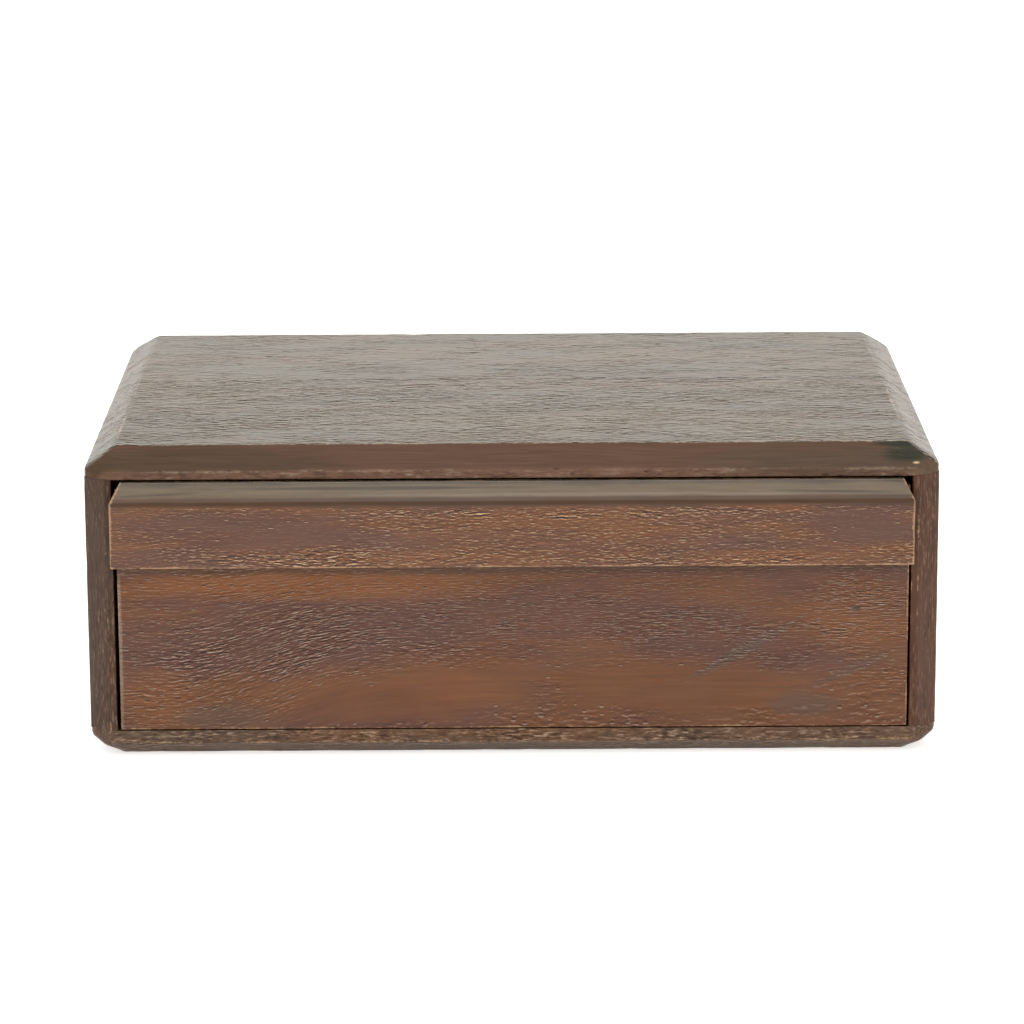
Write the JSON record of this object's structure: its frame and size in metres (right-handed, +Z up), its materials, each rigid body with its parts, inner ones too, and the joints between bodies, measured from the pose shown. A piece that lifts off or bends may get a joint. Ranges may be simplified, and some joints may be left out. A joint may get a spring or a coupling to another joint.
{
  "type": "wooden puzzle box",
  "caption": "Dark waxed hardwood box with chamfered edges and one drawer, locked by sliding the pull batten that runs across the drawer front.",
  "frame": {"origin": "middle of the whole box, pull batten included, on the surface that it stands on", "axes": "+X to the box's right seen from the front, +Y towards the rear, +Z up; the drawer opens along -Y"},
  "size_m": [0.3, 0.221, 0.111],
  "materials": {
    "case_wood": "dark stained hardwood with open pores, rubbed with wax, worn pale along the arrises",
    "drawer_face_wood": "dark red-brown stained hardwood, open pores, waxed, worn along the edges",
    "batten_wood": "dark stained hardwood moulding, hand-softened top edge, worn ends",
    "inner_wood": "plain sawn and planed hardwood, unstained, with a little wax where it slides",
    "panel_wood": "thin plywood panel, sanded, unfinished",
    "dowel_wood": "round fluted hardwood dowel, unfinished",
    "steel_pin": "bright drawn steel panel pin, slightly dulled"
  },
  "bodies": {
    "case": {"top_front_board": "case_wood", "top_rear_board": "case_wood", "bottom_front_board": "case_wood", "bottom_rear_board": "case_wood", "left_side": "case_wood", "right_side": "case_wood", "back_panel": "case_wood", "top_dowels": "dowel_wood", "bottom_dowels": "dowel_wood", "back_dowels": "dowel_wood", "left_runner": "inner_wood", "right_runner": "inner_wood", "left_kicker": "inner_wood", "right_kicker": "inner_wood", "stop_rail": "inner_wood"},
    "drawer": {"drawer_front": "drawer_face_wood", "drawer_left_side": "inner_wood", "drawer_right_side": "inner_wood", "drawer_back": "inner_wood", "drawer_bottom": "panel_wood", "drawer_pins": "steel_pin"},
    "latch": {"pull_batten": "batten_wood", "left_carrier_key": "inner_wood", "right_carrier_key": "inner_wood", "latch_bar": "inner_wood", "key_pegs": "dowel_wood"}
  },
  "joints": [
    {"name": "drawer_slide", "type": "slide", "parent": "case", "child": "drawer", "axis": [0, -1, 0], "range_m": [0, 0.158]},
    {"name": "latch_slide", "type": "slide", "parent": "drawer", "child": "latch", "axis": [-1, 0, 0], "range_m": [0, 0.005]}
  ]
}
